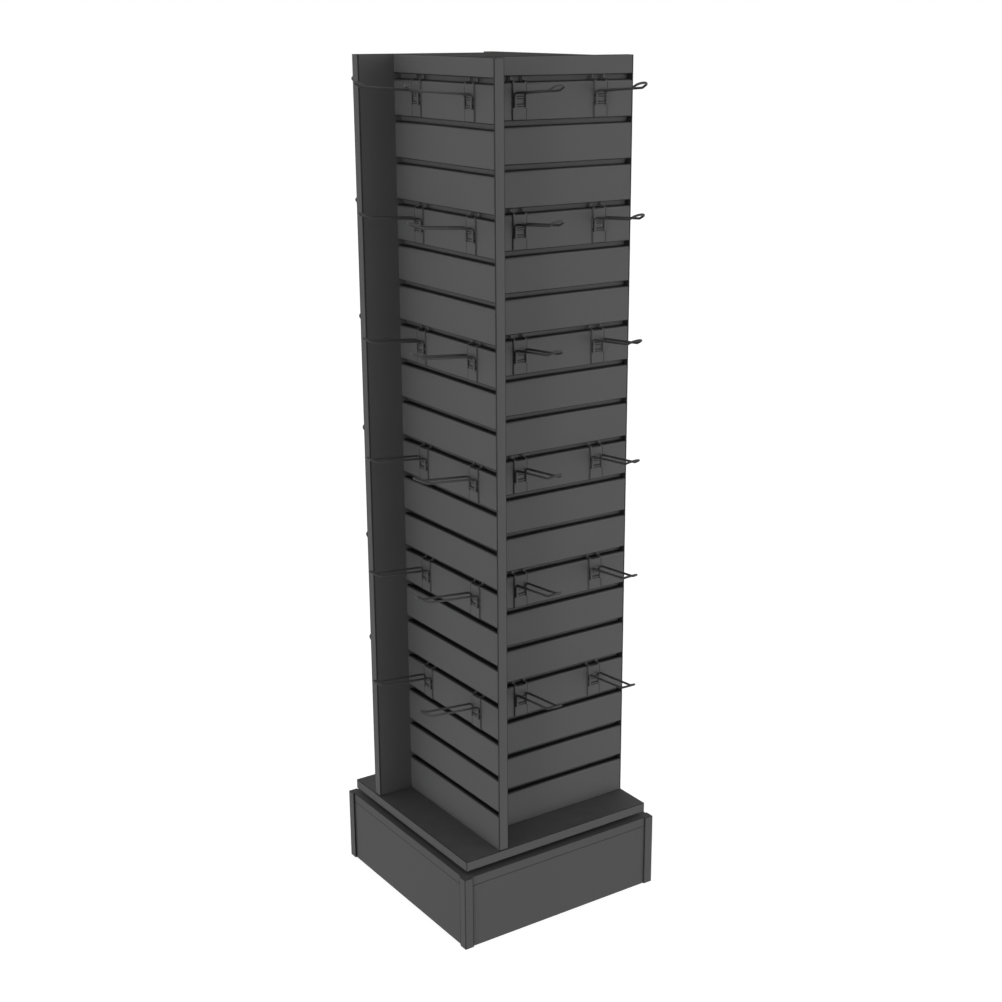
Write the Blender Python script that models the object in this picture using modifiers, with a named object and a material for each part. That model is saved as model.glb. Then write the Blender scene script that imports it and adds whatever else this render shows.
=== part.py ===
import math

import bmesh
import bpy
from mathutils import Matrix

# Rotating slatwall hook display: four grooved panels set as a pinwheel on a turntable over a box base.
# All sizes are in metres. Front is -Y, up is +Z, the floor is Z = 0 and the tower turns about Z.

OBJECT_NAME = "rotating_hook_display"

# Clearance between two pieces that touch
SEAT_GAP = 0.0003

# T-slots in a panel, from its face inwards, and counted from its top
SLOT_PITCH = 0.0762
SLOT_MOUTH = 0.0095
SLOT_LIP = 0.006
SLOT_POCKET_DEPTH = 0.008
SLOT_POCKET_RISE = 0.0065
SLOT_BACK_WALL = 0.006
FIRST_SLOT_DROP = 0.0434

# Slat panels: the core is the square column, and a wing is what runs past its corner
CORE_WIDTH = 0.2802
WING_LENGTH = 0.0755
PANEL_HEIGHT = 1.4873
END_TRIM = 0.0025
CAP_BOARD = 0.018

# Platform under the panels, and how far it stands out past the wings
PLATFORM_LEDGE = 0.0020
PLATFORM_BOARD = 0.0197

# Turntable bearing, and the bolt through it
BEARING_WIDTH = 0.1524
BEARING_PLATE = 0.002
BALL_DIAMETER = 0.0034
BALL_COUNT = 8
BALL_CIRCLE = 0.110
BALL_RING_WIDTH = 0.010
BALL_RING_THICKNESS = 0.0014
BOLT_DIAMETER = 0.010
BOLT_HEAD_DIAMETER = 0.024
BOLT_HEAD_HEIGHT = 0.006
BOLT_END = 0.002
NUT_ACROSS_FLATS = 0.017
NUT_HEIGHT = 0.008

# Box base, and how far it stands out past the platform
BASE_LEDGE = 0.0129
BASE_HEIGHT = 0.1517
BASE_SIDE_BOARD = 0.018
BASE_TOP_BOARD = 0.019
CORNER_TRIM_ARM = 0.0192
CORNER_TRIM_WALL = 0.003

# Hooks: a row hangs on every third slot, one hook near the wing's end and one near the next panel
ROW_STEP = 3
HOOK_FROM_FREE_END = 0.0758
HOOK_FROM_INNER_END = 0.0812
PLATE_WIDTH = 0.0305
PLATE_DROP = 0.0645
PLATE_SHEET = 0.0022
PRONG_WIDTH = 0.0045
PRONG_HEADROOM = 0.001
BAR_HEIGHT = 0.0055
BAR_PROUD = 0.0022
UPPER_BAR_DROP = 0.0225
LOWER_BAR_DROP = 0.0356
WIRE_DIAMETER = 0.0044
WIRE_SPACING = 0.0230
LEG_STANDOFF = 0.0025
LEG_DROP = 0.0425
LEG_BEND_RADIUS = 0.006
ARM_DROP = 0.0168
ARM_REACH = 0.1080
ARM_RISE = math.radians(4.0)
TIP_LENGTH = 0.0200
TIP_RISE = math.radians(27.0)

# Faceting of round pieces
TURNED_STEPS = 16
RING_STEPS = 16
BALL_SEGMENTS = 6
BALL_RINGS = 4
LEG_BEND_POINTS = 3
NOSE_POINTS = 5

# Each face is the front one turned about Z
FACE_TURNS = {
    "front": 0.0,
    "left": -math.pi / 2,
    "back": math.pi,
    "right": math.pi / 2,
}

# Levels and spans that follow from the sizes above
PANEL_BOARD = SLOT_LIP + SLOT_POCKET_DEPTH + SLOT_BACK_WALL
CORE_HALF = CORE_WIDTH / 2
PANEL_INNER_END = -CORE_HALF + PANEL_BOARD + SEAT_GAP
PANEL_FREE_END = CORE_HALF + WING_LENGTH
PANEL_OUTER_END = PANEL_FREE_END - END_TRIM - SEAT_GAP
PLATFORM_HALF = PANEL_FREE_END + PLATFORM_LEDGE
BASE_HALF = PLATFORM_HALF + BASE_LEDGE
BASE_FACE = BASE_HALF - CORNER_TRIM_WALL - SEAT_GAP
BEARING_HEIGHT = 2 * BEARING_PLATE + BALL_DIAMETER + 4 * SEAT_GAP
PLATFORM_BOTTOM = BASE_HEIGHT + BEARING_HEIGHT
PLATFORM_TOP = PLATFORM_BOTTOM + PLATFORM_BOARD
PANEL_BOTTOM = PLATFORM_TOP + SEAT_GAP
PANEL_TOP = PANEL_BOTTOM + PANEL_HEIGHT
SLOT_COUNT = round((PANEL_HEIGHT - FIRST_SLOT_DROP) / SLOT_PITCH)
ROW_COUNT = (SLOT_COUNT - 1) // ROW_STEP
OUTER_HOOK = PANEL_FREE_END - HOOK_FROM_FREE_END
INNER_HOOK = PANEL_INNER_END + HOOK_FROM_INNER_END
HOOK_SPACING = OUTER_HOOK - INNER_HOOK

# An outline's X is depth into the panel, its Y is height, and it is extruded along the panel
OUTLINE_TO_FACE = Matrix(((0, 0, 1, 0), (1, 0, 0, 0), (0, 1, 0, 0), (0, 0, 0, 1)))


def clear_scene():
    for old in list(bpy.data.objects):
        bpy.data.objects.remove(old, do_unlink=True)
    for old in list(bpy.data.collections):
        bpy.data.collections.remove(old)


def new_collection(name):
    made = bpy.data.collections.new(name)
    bpy.context.scene.collection.children.link(made)
    return made


def new_material(name, colour, roughness, metallic):
    made = bpy.data.materials.new(name)
    made.use_nodes = True
    shader = made.node_tree.nodes["Principled BSDF"]
    shader.inputs["Base Color"].default_value = (*colour, 1.0)
    shader.inputs["Roughness"].default_value = roughness
    shader.inputs["Metallic"].default_value = metallic
    made.diffuse_color = (*colour, 1.0)
    return made


def add_object(name, data, material, parent=None, matrix=None):
    made = bpy.data.objects.new(name, data)
    parts.objects.link(made)
    if not data.materials:
        data.materials.append(material)
    made.parent = parent
    made.matrix_world = matrix or Matrix.Identity(4)
    return made


def add_cutter(name, data):
    made = bpy.data.objects.new(name, data)
    cutters.objects.link(made)
    made.hide_render = True
    made.display_type = "WIRE"
    return made


def add_boolean(target, other, operation):
    step = target.modifiers.new(other.name, "BOOLEAN")
    step.operation = operation
    step.object = other


def mesh_from(shape, name):
    made = bpy.data.meshes.new(name)
    shape.to_mesh(made)
    shape.free()
    return made


def box_mesh(name, low, high):
    size = [b - a for a, b in zip(low, high)]
    middle = [(a + b) / 2 for a, b in zip(low, high)]
    place = Matrix.Translation(middle) @ Matrix.Diagonal((*size, 1.0))
    shape = bmesh.new()
    bmesh.ops.create_cube(shape, size=1.0, matrix=place)
    return mesh_from(shape, name)


def cylinder_mesh(name, radius, bottom, top, segments):
    place = Matrix.Translation((0, 0, (bottom + top) / 2))
    sizes = {"radius1": radius, "radius2": radius, "depth": top - bottom}
    shape = bmesh.new()
    bmesh.ops.create_cone(shape, cap_ends=True, segments=segments, matrix=place, **sizes)
    return mesh_from(shape, name)


def add_board(name, low, high, material, parent=None):
    return add_object(name, box_mesh(name, low, high), material, parent)


def outline_curve(name, points, length):
    made = bpy.data.curves.new(name, "CURVE")
    made.dimensions = "2D"
    made.fill_mode = "BOTH"
    made.extrude = length / 2
    spline = made.splines.new("POLY")
    spline.points.add(len(points) - 1)
    for spot, (x, y) in zip(spline.points, points):
        spot.co = (x, y, 0, 1)
    spline.use_cyclic_u = True
    return made


def wire_curve(name, points, diameter):
    made = bpy.data.curves.new(name, "CURVE")
    made.dimensions = "3D"
    made.bevel_depth = diameter / 2
    made.bevel_resolution = 0
    made.use_fill_caps = True
    spline = made.splines.new("POLY")
    spline.points.add(len(points) - 1)
    for spot, point in zip(spline.points, points):
        spot.co = (*point, 1)
    return made


def turned_object(name, profile, material, steps, closed=False, parent=None):
    mesh = bpy.data.meshes.new(name)
    edges = [(i, i + 1) for i in range(len(profile) - 1)]
    if closed:
        edges.append((len(profile) - 1, 0))
    mesh.from_pydata([(radius, 0, height) for radius, height in profile], edges, [])
    made = add_object(name, mesh, material, parent)
    screw = made.modifiers.new("turn", "SCREW")
    screw.steps = steps
    screw.render_steps = steps
    screw.use_merge_vertices = True
    screw.merge_threshold = 0.00001
    return made


def baked_mesh(name, source):
    # The evaluated shape as a welded mesh, after which the source and what was joined to it are removed
    graph = bpy.context.evaluated_depsgraph_get()
    made = bpy.data.meshes.new_from_object(source.evaluated_get(graph))
    made.name = name
    shape = bmesh.new()
    shape.from_mesh(made)
    bmesh.ops.remove_doubles(shape, verts=shape.verts, dist=0.000001)
    bmesh.ops.transform(shape, matrix=source.matrix_world, verts=shape.verts)
    shape.to_mesh(made)
    shape.free()
    joined = [step.object for step in source.modifiers if step.type == "BOOLEAN"]
    for used in [source, *joined]:
        bpy.data.objects.remove(used, do_unlink=True)
    return made


def face_place(face, along, height):
    # A point on a panel's outer face, with X along the panel and Y into it
    return Matrix.Rotation(FACE_TURNS[face], 4, "Z") @ Matrix.Translation((along, -CORE_HALF, height))


def slot_lower_edge(index):
    return PANEL_TOP - FIRST_SLOT_DROP - index * SLOT_PITCH


def make_base_boards():
    outer = BASE_FACE
    inner = outer - BASE_SIDE_BOARD
    butt = inner - SEAT_GAP
    board_top = BASE_HEIGHT - BASE_TOP_BOARD
    side_top = board_top - SEAT_GAP
    top = add_board("base_top", (-outer, -outer, board_top), (outer, outer, BASE_HEIGHT), laminate)
    add_boolean(top, bolt_bore, "DIFFERENCE")
    add_board("base_side_front", (-outer, -outer, 0), (outer, -inner, side_top), laminate)
    add_board("base_side_back", (-outer, inner, 0), (outer, outer, side_top), laminate)
    add_board("base_side_left", (-outer, -butt, 0), (-inner, butt, side_top), laminate)
    add_board("base_side_right", (inner, -butt, 0), (outer, butt, side_top), laminate)


def make_base_corner_trims():
    corner = BASE_HALF
    wall = corner - CORNER_TRIM_WALL
    arm = corner - CORNER_TRIM_ARM
    angle = [(corner, corner), (arm, corner), (arm, wall), (wall, wall), (wall, arm), (corner, arm)]
    section = outline_curve("base_corner_trim", angle, BASE_HEIGHT)
    raised = Matrix.Translation((0, 0, BASE_HEIGHT / 2))
    for turn, name in enumerate(("back_right", "back_left", "front_left", "front_right")):
        place = Matrix.Rotation(turn * math.pi / 2, 4, "Z") @ raised
        add_object("base_corner_trim_" + name, section, edge_trim, matrix=place)


def make_ball_ring(middle):
    outer = (BALL_CIRCLE + BALL_RING_WIDTH) / 2
    inner = (BALL_CIRCLE - BALL_RING_WIDTH) / 2
    top = middle + BALL_RING_THICKNESS / 2
    bottom = middle - BALL_RING_THICKNESS / 2
    profile = [(outer, top), (outer, bottom), (inner, bottom), (inner, top)]
    ring = turned_object("turntable_ball_ring", profile, steel, RING_STEPS, closed=True, parent=ball_axis)
    shape = bmesh.new()
    for index in range(BALL_COUNT):
        turn = Matrix.Rotation(2 * math.pi * index / BALL_COUNT, 4, "Z")
        place = turn @ Matrix.Translation((BALL_CIRCLE / 2, 0, middle))
        bmesh.ops.create_uvsphere(
            shape, u_segments=BALL_SEGMENTS, v_segments=BALL_RINGS, radius=BALL_DIAMETER / 2, matrix=place
        )
    balls = add_cutter("turntable_balls", mesh_from(shape, "turntable_balls"))
    add_boolean(ring, balls, "UNION")


def make_turntable():
    half = BEARING_WIDTH / 2
    lower = BASE_HEIGHT + SEAT_GAP
    upper = PLATFORM_BOTTOM - SEAT_GAP
    plate = add_board(
        "turntable_lower_plate", (-half, -half, lower), (half, half, lower + BEARING_PLATE), steel
    )
    add_boolean(plate, bolt_bore, "DIFFERENCE")
    plate = add_board(
        "turntable_upper_plate", (-half, -half, upper - BEARING_PLATE), (half, half, upper), steel, tower_axis
    )
    add_boolean(plate, bolt_bore, "DIFFERENCE")
    make_ball_ring((lower + upper) / 2)


def make_pivot():
    nut_bottom = PLATFORM_TOP + SEAT_GAP
    nut_top = nut_bottom + NUT_HEIGHT
    bolt_top = nut_top + BOLT_END
    head_top = BASE_HEIGHT - BASE_TOP_BOARD - SEAT_GAP
    head_bottom = head_top - BOLT_HEAD_HEIGHT
    shank = BOLT_DIAMETER / 2
    head = BOLT_HEAD_DIAMETER / 2
    profile = [(0, bolt_top), (shank, bolt_top), (shank, head_top)]
    profile += [(head, head_top), (head, head_bottom), (0, head_bottom)]
    turned_object("pivot_bolt", profile, steel, TURNED_STEPS)
    corner_radius = NUT_ACROSS_FLATS / 2 / math.cos(math.pi / 6)
    nut = add_object("pivot_nut", cylinder_mesh("pivot_nut", corner_radius, nut_bottom, nut_top, 6), steel)
    add_boolean(nut, bolt_bore, "DIFFERENCE")


def make_platform():
    half = PLATFORM_HALF
    platform = add_board(
        "platform", (-half, -half, PLATFORM_BOTTOM), (half, half, PLATFORM_TOP), laminate, tower_axis
    )
    add_boolean(platform, bolt_bore, "DIFFERENCE")


def slat_outline():
    # Up the back of the panel, then down its face, in and out of each slot
    points = [(PANEL_BOARD, 0), (PANEL_BOARD, PANEL_HEIGHT), (0, PANEL_HEIGHT)]
    pocket = SLOT_LIP + SLOT_POCKET_DEPTH
    for index in range(SLOT_COUNT):
        lower = slot_lower_edge(index) - PANEL_BOTTOM
        upper = lower + SLOT_MOUTH
        roof = upper + SLOT_POCKET_RISE
        floor = lower - SLOT_POCKET_RISE
        points += [(0, upper), (SLOT_LIP, upper), (SLOT_LIP, roof), (pocket, roof)]
        points += [(pocket, floor), (SLOT_LIP, floor), (SLOT_LIP, lower), (0, lower)]
    points.append((0, 0))
    return points


def make_panels():
    length = PANEL_OUTER_END - PANEL_INNER_END
    middle = (PANEL_OUTER_END + PANEL_INNER_END) / 2
    section = outline_curve("slat_panel", slat_outline(), length)
    trim = box_mesh("panel_end_trim", (-END_TRIM, 0, 0), (0, PANEL_BOARD, PANEL_HEIGHT))
    for face in FACE_TURNS:
        panel_place = face_place(face, middle, PANEL_BOTTOM) @ OUTLINE_TO_FACE
        add_object("slat_panel_" + face, section, laminate, tower_axis, panel_place)
        trim_place = face_place(face, PANEL_FREE_END, PANEL_BOTTOM)
        add_object("panel_end_trim_" + face, trim, edge_trim, tower_axis, trim_place)


def make_top_cap():
    half = CORE_HALF - PANEL_BOARD - SEAT_GAP
    low = (-half, -half, PANEL_TOP - CAP_BOARD)
    add_board("top_cap", low, (half, half, PANEL_TOP), laminate, tower_axis)


def plate_outline():
    # Up the back of the plate, through the slot's mouth and up behind its lip, then down the plate's front
    back = -SEAT_GAP
    front = back - PLATE_SHEET
    bar = front - BAR_PROUD
    prong_front = SLOT_LIP + SEAT_GAP
    prong_back = prong_front + PLATE_SHEET
    prong_top = SLOT_MOUTH + SLOT_POCKET_RISE - PRONG_HEADROOM
    seat = SEAT_GAP
    shelf = seat + PLATE_SHEET
    points = [(back, -PLATE_DROP), (back, seat), (prong_back, seat), (prong_back, prong_top)]
    points += [(prong_front, prong_top), (prong_front, shelf), (front, shelf)]
    for drop in (UPPER_BAR_DROP, LOWER_BAR_DROP):
        points += [(front, -drop), (bar, -drop), (bar, -drop - BAR_HEIGHT), (front, -drop - BAR_HEIGHT)]
    points.append((front, -PLATE_DROP))
    return points


def wire_path():
    # One U of wire: up a leg, over the bend, out along the arm, round the raised nose and back the same way
    half = WIRE_SPACING / 2
    leg_out = SEAT_GAP + PLATE_SHEET + LEG_STANDOFF
    bend_out = leg_out + LEG_BEND_RADIUS
    bend_height = -ARM_DROP - LEG_BEND_RADIUS
    side = [(half, leg_out, -LEG_DROP)]
    for step in range(LEG_BEND_POINTS):
        angle = math.pi - (math.pi / 2 - ARM_RISE) * step / (LEG_BEND_POINTS - 1)
        out = bend_out + LEG_BEND_RADIUS * math.cos(angle)
        side.append((half, out, bend_height + LEG_BEND_RADIUS * math.sin(angle)))
    root_out, root_height = side[-1][1:]
    tip_height = root_height + (ARM_REACH - root_out) * math.tan(ARM_RISE)
    side.append((half, ARM_REACH, tip_height))
    nose = []
    for step in range(NOSE_POINTS):
        angle = math.pi * step / (NOSE_POINTS - 1)
        along = TIP_LENGTH - half + half * math.sin(angle)
        out = ARM_REACH + along * math.cos(TIP_RISE)
        nose.append((half * math.cos(angle), out, tip_height + along * math.sin(TIP_RISE)))
    other_side = [(-across, out, height) for across, out, height in reversed(side)]
    return [(across, -out, height) for across, out, height in side + nose + other_side]


def make_hook_mesh():
    section = outline_curve("hook_plate", plate_outline(), PLATE_WIDTH)
    plate = add_object("hook_plate", section, powder_coat, matrix=OUTLINE_TO_FACE)
    hook = add_object("hook", baked_mesh("hook_plate", plate), powder_coat)
    window = PLATE_WIDTH / 2 - PRONG_WIDTH
    front = -SEAT_GAP - 2 * PLATE_SHEET
    behind = SLOT_LIP + SLOT_POCKET_DEPTH
    notch = box_mesh("prong_notch", (-window, front, 0), (window, behind, SLOT_MOUTH + SLOT_POCKET_RISE))
    add_boolean(hook, add_cutter("prong_notch", notch), "DIFFERENCE")
    wire = add_object("hook_wire", wire_curve("hook_wire", wire_path(), WIRE_DIAMETER), powder_coat)
    add_boolean(hook, add_cutter("hook_wire", baked_mesh("hook_wire", wire)), "UNION")
    return baked_mesh("wire_hook", hook)


def make_hook_pair_mesh(single):
    # The two hooks of a row, joined by a strip that lies out of sight in the slot's upper pocket
    second = single.copy()
    second.transform(Matrix.Translation((HOOK_SPACING, 0, 0)))
    shape = bmesh.new()
    shape.from_mesh(single)
    shape.from_mesh(second)
    pair = add_object("hook_pair", mesh_from(shape, "hook_pair"), powder_coat)
    start = PLATE_WIDTH / 2 - PRONG_WIDTH / 2
    front = SLOT_LIP + SEAT_GAP + PLATE_SHEET / 4
    back = front + PLATE_SHEET / 2
    prong_rise = SLOT_POCKET_RISE - PRONG_HEADROOM
    bottom = SLOT_MOUTH + prong_rise / 4
    top = bottom + prong_rise / 2
    strip = box_mesh("join_strip", (start, front, bottom), (HOOK_SPACING - start, back, top))
    add_boolean(pair, add_cutter("join_strip", strip), "UNION")
    return baked_mesh("wire_hook_pair", pair)


def make_hooks():
    single = make_hook_mesh()
    pair = make_hook_pair_mesh(single)
    for row in range(ROW_COUNT):
        height = slot_lower_edge(row * ROW_STEP)
        for face in ("front", "left"):
            for side, along in (("inner", INNER_HOOK), ("outer", OUTER_HOOK)):
                name = f"hook_{face}_{row + 1}_{side}"
                add_object(name, single, powder_coat, tower_axis, face_place(face, along, height))
        for face in ("back", "right"):
            name = f"hook_pair_{face}_{row + 1}"
            add_object(name, pair, powder_coat, tower_axis, face_place(face, INNER_HOOK, height))


clear_scene()
parts = new_collection(OBJECT_NAME)
cutters = new_collection("cutters")
laminate = new_material("charcoal_laminate", (0.080, 0.080, 0.080), 0.60, 0.0)
edge_trim = new_material("charcoal_edge_trim", (0.080, 0.080, 0.080), 0.50, 0.0)
steel = new_material("zinc_steel", (0.55, 0.56, 0.57), 0.35, 1.0)
powder_coat = new_material("charcoal_powder_coat", (0.075, 0.075, 0.075), 0.45, 0.0)

tower_axis = bpy.data.objects.new("tower_axis", None)
parts.objects.link(tower_axis)
ball_axis = bpy.data.objects.new("ball_axis", None)
parts.objects.link(ball_axis)
bore_radius = BOLT_DIAMETER / 2 + SEAT_GAP
bolt_bore = add_cutter("bolt_bore", cylinder_mesh("bolt_bore", bore_radius, 0, PANEL_TOP, TURNED_STEPS))

make_base_boards()
make_base_corner_trims()
make_turntable()
make_pivot()
make_platform()
make_panels()
make_top_cap()
make_hooks()
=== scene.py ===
import math

import bmesh
import bpy
from mathutils import Matrix, Vector


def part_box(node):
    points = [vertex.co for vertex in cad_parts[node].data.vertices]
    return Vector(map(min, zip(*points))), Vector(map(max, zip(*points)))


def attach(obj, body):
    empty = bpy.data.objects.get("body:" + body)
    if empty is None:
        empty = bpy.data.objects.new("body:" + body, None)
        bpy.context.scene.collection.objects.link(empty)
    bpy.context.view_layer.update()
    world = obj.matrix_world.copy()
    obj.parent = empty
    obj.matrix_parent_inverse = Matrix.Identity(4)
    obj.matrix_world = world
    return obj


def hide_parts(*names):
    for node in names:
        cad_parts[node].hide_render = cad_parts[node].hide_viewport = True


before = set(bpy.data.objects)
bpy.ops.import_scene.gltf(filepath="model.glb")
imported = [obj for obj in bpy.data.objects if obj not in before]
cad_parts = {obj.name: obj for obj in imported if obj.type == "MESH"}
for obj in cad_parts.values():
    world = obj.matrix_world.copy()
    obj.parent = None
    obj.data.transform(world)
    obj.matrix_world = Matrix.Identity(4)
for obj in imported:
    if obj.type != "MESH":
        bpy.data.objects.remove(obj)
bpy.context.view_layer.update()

# Every face of the tower is the front one, turned about Z
faceTurns = {"front": 0.0, "left": -math.pi / 2, "back": math.pi, "right": math.pi / 2}
sharpAngle = math.radians(35.0)  # an edge that turns more than this is sharp
flatAngle = math.radians(1.0)  # faces that turn less than this are one
weldGap = 0.00001  # points closer than this are one


# Node helpers

def setSocket(tree, socket, value):
    if isinstance(value, bpy.types.NodeSocket):
        tree.links.new(value, socket)
    else:
        socket.default_value = value


def addNode(tree, kind, inputs=None, **settings):
    node = tree.nodes.new(kind)
    for name, value in settings.items():
        setattr(node, name, value)
    for key, value in (inputs or {}).items():
        setSocket(tree, node.inputs[key], value)
    return node


def calc(tree, operation, first, second=0.0):
    node = addNode(tree, "ShaderNodeMath", {0: first, 1: second}, operation=operation)
    return node.outputs[0]


def split(tree, vector):
    return addNode(tree, "ShaderNodeSeparateXYZ", {"Vector": vector}).outputs


def newGroup(name, kind, inputs, outputs):
    tree = bpy.data.node_groups.new(name, kind)
    for label, socketType in inputs:
        tree.interface.new_socket(name=label, in_out="INPUT", socket_type="NodeSocket" + socketType)
    for label, socketType in outputs:
        tree.interface.new_socket(name=label, in_out="OUTPUT", socket_type="NodeSocket" + socketType)
    start = tree.nodes.new("NodeGroupInput")
    end = tree.nodes.new("NodeGroupOutput")
    return tree, start.outputs, end.inputs


def inputId(tree, label):
    return next(s.identifier for s in tree.interface.items_tree if s.name == label and s.in_out == "INPUT")


# Shader groups that several finishes share

def buildGrainGroup():
    group, given, result = newGroup(
        "surfaceGrain", "ShaderNodeTree",
        [("Vector", "Vector"), ("Grain Scale", "Float"), ("Blotch Scale", "Float"),
         ("Blotch Share", "Float")],
        [("Tone", "Float"), ("Height", "Float")],
    )
    grain = addNode(group, "ShaderNodeTexNoise", {
        "Vector": given["Vector"], "Scale": given["Grain Scale"], "Detail": 3.0, "Roughness": 0.6})
    blotch = addNode(group, "ShaderNodeTexNoise", {
        "Vector": given["Vector"], "Scale": given["Blotch Scale"], "Detail": 4.0, "Roughness": 0.55})
    tone = addNode(group, "ShaderNodeMix", {
        "Factor": given["Blotch Share"], "A": grain.outputs["Fac"], "B": blotch.outputs["Fac"]})
    group.links.new(tone.outputs["Result"], result["Tone"])
    group.links.new(grain.outputs["Fac"], result["Height"])
    return group


def buildStreakGroup():
    group, given, result = newGroup(
        "runStreaks", "ShaderNodeTree",
        [("Vector", "Vector"), ("Stretch", "Vector")],
        [("Tone", "Float"), ("Height", "Float")],
    )
    stretched = addNode(group, "ShaderNodeMapping", {"Vector": given["Vector"], "Scale": given["Stretch"]})
    fine = addNode(group, "ShaderNodeTexNoise", {
        "Vector": stretched.outputs["Vector"], "Scale": 1.0, "Detail": 2.0, "Roughness": 0.6})
    wide = addNode(group, "ShaderNodeTexNoise", {
        "Vector": stretched.outputs["Vector"], "Scale": 0.13, "Detail": 2.0, "Roughness": 0.5})
    tone = addNode(group, "ShaderNodeMix", {
        "Factor": 0.45, "A": fine.outputs["Fac"], "B": wide.outputs["Fac"]})
    group.links.new(tone.outputs["Result"], result["Tone"])
    group.links.new(fine.outputs["Fac"], result["Height"])
    return group


# Pale dust on up-facing faces; where its amount is high, as on the top and the platform, it also stands as
# painted light on those faces
def buildDustAndTopLightMask():
    group, given, result = newGroup(
        "dustAndTopLightMask", "ShaderNodeTree",
        [("Vector", "Vector"), ("Amount", "Float")],
        [("Mask", "Float")],
    )
    normal = split(group, addNode(group, "ShaderNodeNewGeometry").outputs["Normal"])
    facing = addNode(group, "ShaderNodeMapRange", {
        "Value": normal["Z"], "From Min": 0.5, "From Max": 0.95, "To Min": 0.0, "To Max": 1.0})
    clumps = addNode(group, "ShaderNodeTexNoise", {
        "Vector": given["Vector"], "Scale": 38.0, "Detail": 6.0, "Roughness": 0.7})
    spread = addNode(group, "ShaderNodeMapRange", {
        "Value": clumps.outputs["Fac"], "From Min": 0.38, "From Max": 0.68, "To Min": 0.25, "To Max": 1.0})
    mask = calc(group, "MULTIPLY", facing.outputs["Result"], spread.outputs["Result"])
    group.links.new(calc(group, "MULTIPLY", mask, given["Amount"]), result["Mask"])
    return group


surfaceGrain = buildGrainGroup()
runStreaks = buildStreakGroup()
dustAndTopLightMask = buildDustAndTopLightMask()


# Finishes

toneRange = {"From Min": 0.3, "From Max": 0.7}  # where most of a noise's values lie
colourA, colourB, colourResult = 6, 7, 2  # the Mix node's sockets for colours


def grey(level):
    return (level, level, level, 1.0)


def startMaterial(name):
    material = bpy.data.materials.new(name)
    material.use_nodes = True
    tree = material.node_tree
    tree.nodes.clear()
    shader = tree.nodes.new("ShaderNodeBsdfPrincipled")
    output = tree.nodes.new("ShaderNodeOutputMaterial")
    tree.links.new(shader.outputs["BSDF"], output.inputs["Surface"])
    place = addNode(tree, "ShaderNodeTexCoord").outputs["Object"]
    return material, tree, shader, place


def placeGroup(tree, group, **values):
    node = tree.nodes.new("ShaderNodeGroup")
    node.node_tree = group
    for label, value in values.items():
        setSocket(tree, node.inputs[label.replace("_", " ")], value)
    return node.outputs


def placeGrain(tree, place, look):
    return placeGroup(tree, surfaceGrain, Vector=place, Grain_Scale=look["grainScale"],
                      Blotch_Scale=look["blotchScale"], Blotch_Share=look["blotchShare"])


def mixColours(tree, factor, first, second):
    mix = addNode(tree, "ShaderNodeMix", {
        "Factor": factor, colourA: first, colourB: second}, data_type="RGBA")
    return mix.outputs[colourResult]


def tint(tree, tone, look):
    # Runs from the low colour to the high one as the tone goes through its usual range
    ramp = addNode(tree, "ShaderNodeMapRange", {"Value": tone, **toneRange})
    return mixColours(tree, ramp.outputs["Result"], look["low"], look["high"])


def withDustAndTopLight(tree, place, colour, look):
    mask = placeGroup(tree, dustAndTopLightMask, Vector=place, Amount=look["dustAndTopLightAmount"])["Mask"]
    return mixColours(tree, mask, colour, dustAndTopLightColour)


def roughened(tree, shader, tone, look):
    low, high = look["roughness"]
    spread = addNode(tree, "ShaderNodeMapRange", {"Value": tone, **toneRange, "To Min": low, "To Max": high})
    tree.links.new(spread.outputs["Result"], shader.inputs["Roughness"])


def bumped(tree, shader, height, look):
    bump = addNode(tree, "ShaderNodeBump", {
        "Height": height, "Strength": look["bump"], "Distance": look["bumpDepth"]})
    tree.links.new(bump.outputs["Normal"], shader.inputs["Normal"])


def grainFinish(name, look):
    material, tree, shader, place = startMaterial(name)
    grain = placeGrain(tree, place, look)
    colour = tint(tree, grain["Tone"], look)
    tree.links.new(withDustAndTopLight(tree, place, colour, look), shader.inputs["Base Color"])
    roughened(tree, shader, grain["Tone"], look)
    bumped(tree, shader, grain["Height"], look)
    shader.inputs["Specular IOR Level"].default_value = look["specular"]
    return material


def streakFinish(name, look):
    material, tree, shader, place = startMaterial(name)
    streaks = placeGroup(tree, runStreaks, Vector=place, Stretch=look["stretch"])
    grain = placeGrain(tree, place, look)
    tone = addNode(tree, "ShaderNodeMix", {
        "Factor": look["grainShare"], "A": streaks["Tone"], "B": grain["Tone"]}).outputs["Result"]
    tree.links.new(tint(tree, tone, look), shader.inputs["Base Color"])
    roughened(tree, shader, tone, look)
    bumped(tree, shader, streaks["Height"], look)
    shader.inputs["Specular IOR Level"].default_value = look["specular"]
    shader.inputs["Metallic"].default_value = look["metallic"]
    return material


# Pale colour of the dust, which on up-facing faces is also painted light
dustAndTopLightColour = (0.16, 0.16, 0.155, 1.0)

# Charcoal melamine faces
laminateLook = {
    "low": grey(0.0755), "high": grey(0.0865), "roughness": (0.58, 0.72), "specular": 0.09, "dustAndTopLightAmount": 0.05,
    "grainScale": 620.0, "blotchScale": 5.0, "blotchShare": 0.45, "bump": 0.18, "bumpDepth": 0.0004,
}
# The same board on the base and platform, made a little darker as painted shade, and on the top, without
# gloss and with heavy dust that also stands as painted light
shadedBaseLook = {**laminateLook, "low": grey(0.0646), "high": grey(0.0741)}
shadedPlatformLook = {**laminateLook, "low": grey(0.0700), "high": grey(0.0800), "dustAndTopLightAmount": 0.17}
topLook = {**laminateLook, "specular": 0.0, "dustAndTopLightAmount": 0.4}
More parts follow.
